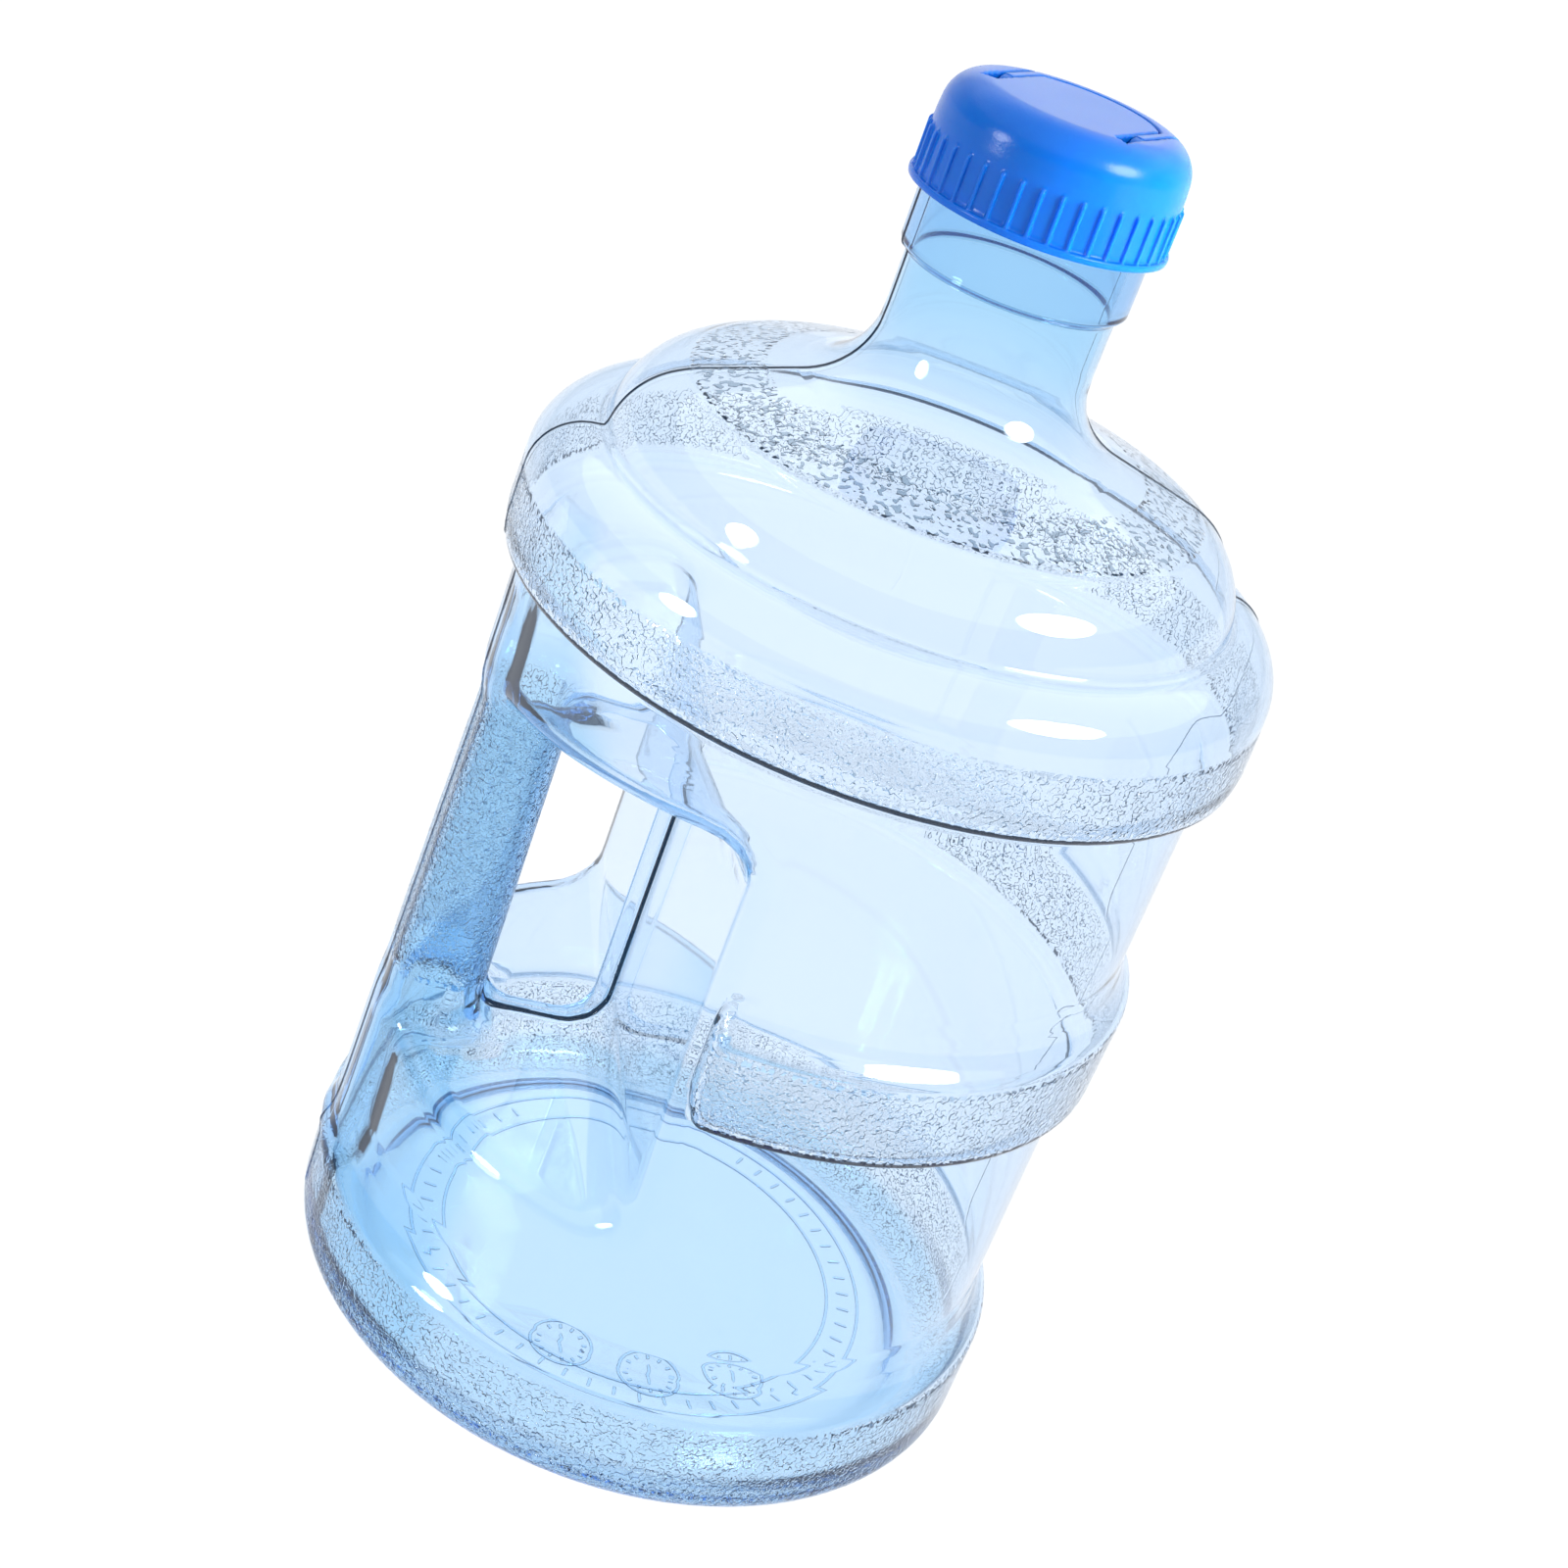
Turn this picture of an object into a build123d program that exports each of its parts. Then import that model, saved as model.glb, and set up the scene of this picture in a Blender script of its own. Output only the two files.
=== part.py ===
from build123d import *
import os
from math import hypot

os.makedirs("parts", exist_ok=True)

# Large blow-moulded water jug with a screw cap. Millimetres, +Z up.
# The origin is the centre of the base. The handle is towards -X.

# shell of the jug
wall = 1.6
base_radius = 97.5
waist_radius = 90.8
middle_band_radius = 96.9
upper_band_radius = 98.1
middle_band_bottom = 118.0
upper_band_bottom = 212.0
groove_radius = 82.0
groove_height = 248.0
lobe_radius = 78.6
lobe_height = 261.7
texture_ring_outer = 66.0
texture_ring_inner = 49.3
texture_ring_height = 267.6
push_up = 6.0
push_up_radius = 74.0
foot_inner_radius = 80.0

# neck and its thread
neck_radius = 26.4
collar_radius = 28.6
collar_bottom = 310.0
finish_bottom = 327.0
finish_radius = 27.2
rim_height = 340.7
bore_radius = 24.8
pitch = 5.0
thread_turns = 1.4
thread_root_half = 1.1
thread_crest_half = 0.5
neck_thread_crest = 28.7
neck_thread_start = 331.8
thread_root_sink = 0.3

# handle, its side pockets and the finger opening
handle_inner = 68.2
handle_outer_low = 95.8
handle_outer_high = 90.4
handle_half_width = 16.0
handle_corner = 9.0
handle_low = 33.0
handle_high = 207.0
pocket_wall_middle = 33.0
pocket_wall_rim = 30.4
pocket_floor_middle = 79.0
pocket_floor_rim = 74.6
pocket_ceiling_middle = 175.5
pocket_ceiling_rim = 191.5
pocket_corner = 12.0
pocket_reach = 130.0
pocket_depth = 100.0
finger_opening_near = 37.8
finger_opening_low = 82.5
finger_opening_high = 172.0
finger_opening_corner = 9.5
web_thickness = 3.0
band_end = 29.5
band_end_corner = 11.0

# cap
cap_bottom = 326.5
cap_top = 353.4
lip_radius = 32.3
lip_height = 1.8
skirt_radius = 31.1
rib_radius = 31.7
rib_count = 40
rib_width = 1.1
rib_height = 12.0
dome_radius = 30.8
dome_corner = 9.0
cap_bore = 29.3
cap_ceiling = 342.2
cap_thread_crest = 27.85
lid_thickness = 2.2
panel_radius = 19.2
lid_hollow_half_width = 13.5

# folding bail on the cap, laid out with its back towards +Y and then turned
bail_turn = -40.0
bail_inner = 20.3
ring_gap = 0.7
bail_half_width = 19.2
bail_leg_inner = 16.8
bail_bottom = 344.8
bail_groove_wall = 2.4
bail_groove_depth = 3.4
hinge_back = -3.0
hinge_height = 349.0
leg_end_radius = 4.1
pin_radius = 1.3
pin_end = 21.4
pin_clearance = 0.06
slot_gap = 0.3
window_front = -13.0

# sealing disc
liner_radius = 28.9


def inset(outline, depth):
    """Moves an outline (radius, height, fillet) inwards; its solid is on the left."""
    moved = []
    for index in range(1, len(outline) - 1):
        (r0, z0, _), (r1, z1, fillet), (r2, z2, _) = outline[index - 1 : index + 2]
        first = ((r1 - r0) / hypot(r1 - r0, z1 - z0), (z1 - z0) / hypot(r1 - r0, z1 - z0))
        second = ((r2 - r1) / hypot(r2 - r1, z2 - z1), (z2 - z1) / hypot(r2 - r1, z2 - z1))
        turn = first[0] * second[1] - first[1] * second[0]
        share = 1 + first[0] * second[0] + first[1] * second[1]
        r = r1 - depth * (first[1] + second[1]) / share
        z = z1 + depth * (first[0] + second[0]) / share
        if fillet:
            fillet = max(fillet - depth, 0.3) if turn > 0 else fillet + depth
        moved.append((r, z, fillet))
    return moved


def turned(outline):
    """Revolves an outline of (radius, height, fillet) that starts and ends on the axis."""
    points = [(r, z) for r, z, _ in outline]
    line = FilletPolyline(*points, radius=[fillet for _, _, fillet in outline[1:-1]])
    face = make_face(Curve() + [line, Line(points[-1], points[0])])
    return revolve(Plane.XZ * face, Axis.Z)


def jug_outline(with_middle_band):
    """Outer outline of the jug from the middle of the base up to the shoulder."""
    low = [
        (0, push_up, 0),
        (push_up_radius, push_up, 5),
        (foot_inner_radius, 0, 3),
        (base_radius, 0, 9),
        (base_radius, 30.5, 10),
        (waist_radius, 47.5, 12),
    ]
    band = [
        (waist_radius, middle_band_bottom - 1.2, 1.0),
        (middle_band_radius - 0.6, middle_band_bottom, 1.0),
        (middle_band_radius, 144.5, 8),
        (waist_radius, 155.0, 12),
    ]
    high = [
        (waist_radius, upper_band_bottom, 1.5),
        (upper_band_radius - 0.8, upper_band_bottom + 2.0, 1.0),
        (upper_band_radius, 219, 10),
        (upper_band_radius - 0.9, groove_height - 1, 15.5),
        (groove_radius, groove_height, 3),
        (lobe_radius, lobe_height, 22),
        (texture_ring_outer, texture_ring_height, 8),
        (texture_ring_inner, texture_ring_height + 5, 6),
    ]
    return low + (band if with_middle_band else []) + high


def neck_outline():
    """Outer outline of the neck from the shoulder to the axis at the rim."""
    return [
        (neck_radius, 279.4, 20),
        (neck_radius, collar_bottom, 1.0),
        (collar_radius, collar_bottom + 1.2, 0.8),
        (collar_radius, finish_bottom, 0.4),
        (finish_radius, finish_bottom + 0.6, 0),
        (finish_radius, rim_height, 0.6),
        (0, rim_height, 0),
    ]


def bore_outline():
    """Inner outline of the neck, open past the rim."""
    return [(bore_radius, 281.5, 20), (bore_radius, rim_height + 5, 0), (0, rim_height + 5, 0)]


def cavity(with_middle_band):
    body = inset(jug_outline(with_middle_band) + [(neck_radius, 279.4, 20)], wall)
    return turned([(0, push_up + wall, 0)] + body + bore_outline())


def band_region(grow):
    """Where the middle band stands: it stops short of the handle with a round lower corner."""
    left = -band_end + grow
    low = middle_band_bottom - 6 + grow
    centre_x, centre_z = (left + 140) / 2, (low + 160) / 2
    sketch = Pos(centre_x, centre_z) * Rectangle(140 - left, 160 - low)
    corner = sketch.vertices().sort_by(Axis.X)[:2].sort_by(Axis.Y)[0]
    return extrude(Plane.XZ * fillet(corner, band_end_corner + 5), 120, both=True)


def pocket_section(wall_x, floor, ceiling):
    sketch = Pos((wall_x - pocket_reach) / 2, (floor + ceiling) / 2) * Rectangle(
        wall_x + pocket_reach, ceiling - floor
    )
    return fillet(sketch.vertices().sort_by(Axis.X)[2:], pocket_corner)


def pocket(side, grow):
    """One side pocket: a rounded box that widens from the middle plane outwards."""
    middle = pocket_section(
        -pocket_wall_middle + grow, pocket_floor_middle - grow, pocket_ceiling_middle + grow
    )
    rim = pocket_section(
        -pocket_wall_rim + grow, pocket_floor_rim - grow, pocket_ceiling_rim + grow
    )
    outer_plane = Plane((0, side * pocket_depth, 0), x_dir=(1, 0, 0), z_dir=(0, -1, 0))
    return loft([Plane.XZ * middle, outer_plane * rim], ruled=True)


def handle_spine(depth):
    """The upright handle tube, leaning a little; depth moves its faces inwards."""
    sections = []
    for height, outer in ((handle_low, handle_outer_low), (handle_high, handle_outer_high)):
        width = outer - handle_inner - 2 * depth
        plate = RectangleRounded(width, 2 * (handle_half_width - depth), handle_corner - depth)
        sections.append(Pos(-(outer + handle_inner) / 2, 0, height) * plate)
    return loft(sections, ruled=True)


def pinch_web():
    """Thin web left round the finger opening, where the two mould halves met."""
    width = handle_inner + handle_corner - (pocket_wall_middle - wall)
    height = pocket_ceiling_middle - pocket_floor_middle + 2 * wall
    middle = (pocket_ceiling_middle + pocket_floor_middle) / 2
    plate = Pos(-(pocket_wall_middle - wall) - width / 2, middle) * Rectangle(width, height)
    opening = Pos(
        -(handle_inner + finger_opening_near) / 2,
        (finger_opening_low + finger_opening_high) / 2,
    ) * RectangleRounded(
        handle_inner - finger_opening_near,
        finger_opening_high - finger_opening_low,
        finger_opening_corner,
    )
    return extrude(Plane.XZ * (plate - opening), web_thickness / 2, both=True)


def thread(root, crest, start, turns):
    """Helical ridge of trapezoid section, from the root radius to the crest radius."""
    path = Helix(pitch, pitch * turns, abs(root), center=(0, 0, start))
    corners = [
        (root, start - thread_root_half),
        (crest, start - thread_crest_half),
        (crest, start + thread_crest_half),
        (root, start + thread_root_half),
    ]
    section = make_face(Polyline(*[(r, 0, z) for r, z in corners], close=True))
    return sweep(section, path, is_frenet=True)


def jug_body():
    outer = turned(jug_outline(False) + neck_outline())
    outer += turned(jug_outline(True) + neck_outline()) & band_region(0)
    inner = cavity(False)
    inner += cavity(True) & band_region(wall)
    for side in (-1, 1):
        outer -= pocket(side, 0)
        inner -= pocket(side, wall)
    outer += handle_spine(0)
    inner += handle_spine(wall)
    shell = outer - inner + pinch_web()
    ridge = thread(
        finish_radius - thread_root_sink, neck_thread_crest, neck_thread_start, thread_turns
    )
    return shell + ridge


def dome(grow):
    """The cap's outside without its lip: an upright skirt and a rounded top."""
    return turned(
        [
            (0, cap_bottom, 0),
            (skirt_radius - grow, cap_bottom, 0),
            (dome_radius - grow, 342, 10),
            (dome_radius - 1.0 - grow, cap_top - grow, dome_corner - grow),
            (0, cap_top - grow, 0),
        ]
    )


def upright(sketch, low, high):
    """A plan extruded from one height to another."""
    return extrude(Pos(0, 0, low) * sketch, high - low)


def bail_plan(gap, ring):
    """Plan of the bail: straight sides, a round inside of radius ring, legs past the hinge."""
    front = hinge_back - leg_end_radius
    back = dome_radius + 5
    outside = Pos(0, (front + back) / 2) * Rectangle(2 * (bail_half_width + gap), back - front)
    leg_inner = bail_leg_inner - gap
    legs_end = (ring**2 - leg_inner**2) ** 0.5
    between_legs = Pos(0, (legs_end - 40) / 2) * Rectangle(2 * leg_inner, legs_end + 40)
    ring_hole = Circle(ring) & Rectangle(2 * leg_inner, 60)
    return outside - ring_hole - between_legs


def across(radius, half_length):
    """A bar across the cap on the hinge axis."""
    bar = Cylinder(radius, 2 * half_length, rotation=(0, 90, 0))
    return Pos(0, hinge_back, hinge_height) * bar


def cap_bail():
    bail = upright(bail_plan(0, bail_inner), bail_bottom, cap_top) & dome(0)
    front = Pos(0, hinge_back - 10, hinge_height) * Box(60, 20, 40)
    bail -= front - across(leg_end_radius, 30)
    core = Circle(dome_radius - bail_groove_wall - 1) - Circle(bail_inner + bail_groove_wall)
    core &= Pos(0, 30) * Rectangle(2 * (bail_half_width - bail_groove_wall), 40)
    bail -= upright(core, bail_bottom - 1, bail_bottom + bail_groove_depth)
    pins = across(pin_radius, pin_end)
    pins -= Pos(0, hinge_back, hinge_height) * Box(2 * bail_half_width - 1, 10, 10)
    return Rot(0, 0, bail_turn) * (bail + pins)


def screw_cap():
    cap = dome(0)
    cap += Pos(0, 0, cap_bottom + lip_height / 2) * Cylinder(lip_radius, lip_height)
    rib = Pos(rib_radius / 2, 0, cap_bottom + lip_height / 2 + rib_height / 2) * Box(
        rib_radius, rib_width, rib_height
    )
    cap += [Rot(0, 0, 360 * index / rib_count) * rib for index in range(rib_count)]
    cap -= Pos(0, 0, (cap_bottom + cap_ceiling) / 2) * Cylinder(cap_bore, cap_ceiling - cap_bottom)
    hollow = Circle(panel_radius - lid_thickness)
    hollow += Pos(0, -10) * Rectangle(2 * (bail_leg_inner - slot_gap - lid_thickness), 20)
    cap -= upright(hollow & Rectangle(2 * lid_hollow_half_width, 60), cap_ceiling - 1, cap_top) & dome(lid_thickness)
    trench_floor = bail_bottom - 0.4
    trench_plan = bail_plan(slot_gap, bail_inner - ring_gap)
    trench = upright(trench_plan, trench_floor, cap_top + 1)
    for side in (-1, 1):
        window = Pos(side * (bail_leg_inner + bail_half_width) / 2, (window_front - 3) / 2)
        size = bail_half_width - bail_leg_inner + 2 * slot_gap
        window_plan = window * Rectangle(size, -window_front - 3)
        trench += upright(window_plan, trench_floor, cap_top + 1)
    cap -= trench
    cap -= across(pin_radius + pin_clearance, pin_end + slot_gap)
    ridge = thread(
        cap_bore + thread_root_sink, cap_thread_crest, neck_thread_start - pitch / 2, thread_turns
    )
    return Rot(0, 0, bail_turn) * (cap + ridge)


def cap_liner():
    thickness = cap_ceiling - rim_height
    return Pos(0, 0, rim_height + thickness / 2) * Cylinder(liner_radius, thickness)


for name, build in (
    ("jug_body", jug_body),
    ("screw_cap", screw_cap),
    ("cap_bail", cap_bail),
    ("cap_liner", cap_liner),
):
    shape = build()
    export_step(shape, f"parts/{name}.step")
    print(name, "solids", len(shape.solids()), "volume", round(shape.volume))
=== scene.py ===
import bpy
import numpy as np
from mathutils import Matrix


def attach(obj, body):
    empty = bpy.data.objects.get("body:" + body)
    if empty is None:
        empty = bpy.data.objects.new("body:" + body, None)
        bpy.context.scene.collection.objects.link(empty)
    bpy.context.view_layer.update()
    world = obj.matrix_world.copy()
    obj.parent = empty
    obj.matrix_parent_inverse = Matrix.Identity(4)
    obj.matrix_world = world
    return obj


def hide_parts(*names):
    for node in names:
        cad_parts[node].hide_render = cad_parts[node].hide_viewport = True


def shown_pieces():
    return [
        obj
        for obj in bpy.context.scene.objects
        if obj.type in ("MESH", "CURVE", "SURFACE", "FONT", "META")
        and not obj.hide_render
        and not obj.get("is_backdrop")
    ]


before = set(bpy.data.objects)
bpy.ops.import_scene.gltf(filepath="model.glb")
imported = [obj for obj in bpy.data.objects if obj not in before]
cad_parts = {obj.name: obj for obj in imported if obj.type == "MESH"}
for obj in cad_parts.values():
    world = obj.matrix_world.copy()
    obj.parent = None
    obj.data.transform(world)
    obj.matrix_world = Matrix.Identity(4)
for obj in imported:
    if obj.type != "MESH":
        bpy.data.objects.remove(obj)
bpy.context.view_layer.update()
print("frame loaded")

# Water jug with a screw cap. Shapes are worked out in millimetres and put into
# meshes in metres. The handle is towards -X, the parting seam is the XZ plane.


# distance formulas, negative inside a solid

def smoothMin(a, b, width):
    # the lesser of two distances, with the corner between them rounded over width
    h = np.clip(0.5 + 0.5 * (b - a) / width, 0, 1)
    return b + (a - b) * h - width * h * (1 - h)


def smoothMax(a, b, width):
    # the greater of two distances, rounded the same way
    return -smoothMin(-a, -b, width)


def plate(u, v, halfWidth, halfHeight, corner):
    # distance to a rectangle centred on 0,0 whose corners have a radius
    qu, qv = np.abs(u) - halfWidth + corner, np.abs(v) - halfHeight + corner
    outside = np.hypot(np.maximum(qu, 0), np.maximum(qv, 0))
    return outside + np.minimum(np.maximum(qu, qv), 0) - corner


def roundedOutline(corners):
    # lines and arcs of an outline given as (radius, height, fillet); its solid is on the left
    points = np.array([c[:2] for c in corners], float)
    parts, start = [], points[0]
    for before, here, after, (*_, fillet) in zip(points, points[1:], points[2:], corners[1:]):
        came = (here - before) / np.linalg.norm(here - before)
        goes = (after - here) / np.linalg.norm(after - here)
        turn = came[0] * goes[1] - came[1] * goes[0]
        half = np.arccos(np.clip(came @ goes, -1, 1)) / 2
        cut = fillet * np.tan(half)
        middle = goes - came
        centre = here + middle / np.linalg.norm(middle) * fillet / np.cos(half)
        parts.append(("line", start, here - came * cut))
        parts.append(("arc", centre, fillet, np.sign(turn), -middle / np.linalg.norm(middle), np.cos(half)))
        start = here + goes * cut
    return parts + [("line", start, points[-1])]


def turnedDistance(r, z, parts):
    # distance to the nearest line or arc of an outline, its sign taken from that part
    best = np.full(np.broadcast(r, z).shape, 1e6)
    for kind, *rest in parts:
        if kind == "line":
            (r0, z0), (r1, z1) = rest
            dr, dz = r1 - r0, z1 - z0
            t = np.clip(((r - r0) * dr + (z - z0) * dz) / (dr * dr + dz * dz), 0, 1)
            far = np.hypot(r - r0 - t * dr, z - z0 - t * dz)
            found = np.where(dr * (z - z0) - dz * (r - r0) > 0, -far, far)
        else:
            centre, radius, turn, middle, spread = rest
            u, v = r - centre[0], z - centre[1]
            far = np.hypot(u, v)
            found = np.where(u * middle[0] + v * middle[1] >= far * spread, turn * (far - radius), 1e6)
        best = np.where(np.abs(found) < np.abs(best), found, best)
    return best


def spaced(*stops):
    # grid positions from (position, step) pairs, the last one a bare position
    runs = [
        np.linspace(a[0], b[0], max(1, round((b[0] - a[0]) / a[1])), endpoint=False)
        for a, b in zip(stops, stops[1:])
    ]
    return np.append(np.concatenate(runs), stops[-1][0])


# a skin caught on a grid of angle, radius and height

def caughtSkin(field, angles, radii, heights, inward=False):
    # a vertex in every grid cell that the field's zero passes through, moved on to the zero
    # along the slope, and a face round every grid edge whose ends are on different sides
    around = np.append(angles, angles[0] + 2 * np.pi)
    nA, nR, nZ = len(angles), len(radii), len(heights)
    value = field(radii[None, :, None], around[:, None, None], heights[None, None, :])
    value = np.broadcast_to(value, (nA + 1, nR, nZ))
    solid = value < 0
    count = sum(
        solid[a : nA + a, b : nR - 1 + b, c : nZ - 1 + c].astype(np.int8)
        for a in (0, 1) for b in (0, 1) for c in (0, 1)
    )
    mixed = (count > 0) & (count < 8)
    iA, iR, iZ = np.nonzero(mixed)
    ids = np.full(mixed.shape, -1)
    ids[mixed] = np.arange(len(iA))
    total, crossings = np.zeros((3, len(iA))), np.zeros(len(iA))
    for axis in range(3):
        for b in (0, 1):
            for c in (0, 1):
                low = [b, c]
                low.insert(axis, 0)
                high = [b, c]
                high.insert(axis, 1)
                v0 = value[iA + low[0], iR + low[1], iZ + low[2]]
                v1 = value[iA + high[0], iR + high[1], iZ + high[2]]
                cut = (v0 < 0) != (v1 < 0)
                spot = np.array(low, float)[:, None] + np.zeros((3, len(iA)))
                spot[axis] = np.where(cut, v0 / np.where(cut, v0 - v1, 1), 0)
                total += spot * cut
                crossings += cut
    share = total / crossings
    angle = around[iA] + share[0] * (around[iA + 1] - around[iA])
    radius = radii[iR] + share[1] * (radii[iR + 1] - radii[iR])
    height = heights[iZ] + share[2] * (heights[iZ + 1] - heights[iZ])
    spots = np.stack([radius * np.cos(angle), radius * np.sin(angle), height])

    faces = []

    def quads(first, second, third, fourth, plain):
        ring = np.stack([first, second, third, fourth], 1)
        ring[~plain] = ring[~plain][:, ::-1]
        faces.append(ring)

    a, r, z = np.nonzero(solid[:-1, 1:-1, 1:-1] != solid[1:, 1:-1, 1:-1])
    quads(ids[a, r, z], ids[a, r + 1, z], ids[a, r + 1, z + 1], ids[a, r, z + 1], ~solid[a, r + 1, z + 1])
    a, r, z = np.nonzero(solid[:-1, :-1, 1:-1] != solid[:-1, 1:, 1:-1])
    quads(ids[a - 1, r, z], ids[a, r, z], ids[a, r, z + 1], ids[a - 1, r, z + 1], solid[a, r, z + 1])
    a, r, z = np.nonzero(solid[:-1, 1:-1, :-1] != solid[:-1, 1:-1, 1:])
    quads(ids[a - 1, r, z], ids[a, r, z], ids[a, r + 1, z], ids[a - 1, r + 1, z], ~solid[a, r + 1, z])
    faces = np.concatenate(faces)

    poles = []
    for k in np.nonzero(solid[0, 0, :-1] != solid[0, 0, 1:])[0]:  # where the skin meets the axis
        v0, v1 = value[0, 0, k], value[0, 0, k + 1]
        centre = spots.shape[1]
        height = heights[k] + (heights[k + 1] - heights[k]) * v0 / (v0 - v1)
        spots = np.append(spots, [[0], [0], [height]], 1)
        ring = ids[:, 0, k]
        fan = np.stack([np.full(nA, centre), np.roll(ring, 1), ring], 1)
        poles.append(fan if solid[0, 0, k] else fan[:, ::-1])
    poles = np.concatenate(poles) if poles else np.zeros((0, 3), int)

    def at(p):
        return field(np.hypot(p[0], p[1]), np.arctan2(p[1], p[0]), p[2])

    step = 0.02
    for turn in range(4):
        slope = np.stack([at(spots + step * e) - at(spots - step * e) for e in np.eye(3)[:, :, None]])
        slope = slope / (2 * step)
        size = np.maximum((slope**2).sum(0), 0.05)
        if turn < 3:
            spots = spots - np.clip(at(spots), -1.2, 1.2) * slope / size
    normals = slope / np.linalg.norm(slope, axis=0)
    if inward:
        return spots.T, faces[:, ::-1], poles[:, ::-1], -normals.T, ids
    return spots.T, faces, poles, normals.T, ids


def makePiece(name, points, faces, triangles, normals, material):
    mesh = bpy.data.meshes.new(name)
    mesh.from_pydata((points * 0.001).tolist(), [], faces.tolist() + triangles.tolist())
    mesh.polygons.foreach_set("use_smooth", np.ones(len(mesh.polygons), bool))
    mesh.materials.append(material)
    mesh.update()
    if normals is not None:
        mesh.normals_split_custom_set_from_vertices(normals.tolist())
    piece = bpy.data.objects.new(name, mesh)
    bpy.context.scene.collection.objects.link(piece)
    return piece


# shader maths

class Wire:
    # a value in a node tree; arithmetic on it adds Math nodes
    def __init__(self, tree, socket):
        self.tree, self.socket = tree, socket

    def node(self, kind, settings=None, inputs=None, output=0):
        made = self.tree.nodes.new(kind)
        for key, value in (settings or {}).items():
            setattr(made, key, value)
        for key, value in (inputs or {}).items():
            if isinstance(value, Wire):
                self.tree.links.new(value.socket, made.inputs[key])
            else:
                made.inputs[key].default_value = value
        return Wire(self.tree, made.outputs[output])

    def math(self, operation, *values):
        return self.node("ShaderNodeMath", {"operation": operation}, dict(enumerate(values)))

    def __add__(self, other):
        return self.math("ADD", self, other)

    def __radd__(self, other):
        return self.math("ADD", other, self)

    def __sub__(self, other):
        return self.math("SUBTRACT", self, other)

    def __rsub__(self, other):
        return self.math("SUBTRACT", other, self)

    def __mul__(self, other):
        return self.math("MULTIPLY", self, other)

    def __rmul__(self, other):
        return self.math("MULTIPLY", other, self)

    def __pow__(self, other):
        return self.math("POWER", self, other)

    def __abs__(self):
        return self.math("ABSOLUTE", self)

    def into(self, socket):
        self.tree.links.new(self.socket, socket)

    def other(self, index):
        # another output of the same node
        return Wire(self.tree, self.socket.node.outputs[index])

    def ramp(self, low, high):
        # 0 below low, 1 above high, eased between
        settings = {"interpolation_type": "SMOOTHSTEP"}
        return self.node("ShaderNodeMapRange", settings, {"Value": self, "From Min": low, "From Max": high})

    def between(self, low, high, soft):
        # 1 between the two limits, each eased over soft on both of its sides
        return self.ramp(low - soft, low + soft) * (1 - self.ramp(high - soft, high + soft))

    def noise(self, scale, detail=0.0, distortion=0.0):
        # a noise texture that reads this place
        return self.node("ShaderNodeTexNoise", inputs={
            "Vector": self, "Scale": scale, "Detail": detail, "Distortion": distortion,
        })

    def blend(self, low, high):
        # two colours mixed by this factor
        settings = {"data_type": "RGBA", "clamp_factor": True}
        return self.node("ShaderNodeMix", settings, {0: self, 6: low, 7: high}, output=2)

    def bump(self, shader, strength, distance):
        # this height as bump in a shader's normal
        inputs = {"Strength": strength, "Distance": distance, "Height": self}
        self.node("ShaderNodeBump", inputs=inputs).into(shader.inputs["Normal"])


def newMaterial(name, sockets):
    # a Principled material with plain values on its own sockets, and a Wire to build from
    material = bpy.data.materials.new(name)
    material.use_nodes = True
    tree = material.node_tree
    shader = tree.nodes["Principled BSDF"]
    for key, value in sockets.items():
        shader.inputs[key].default_value = value
    return material, shader, Wire(tree, None)


# jug: clear pale blue shell; lengths in mm, outlines as (radius, height, fillet), the rim without fillets

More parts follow.
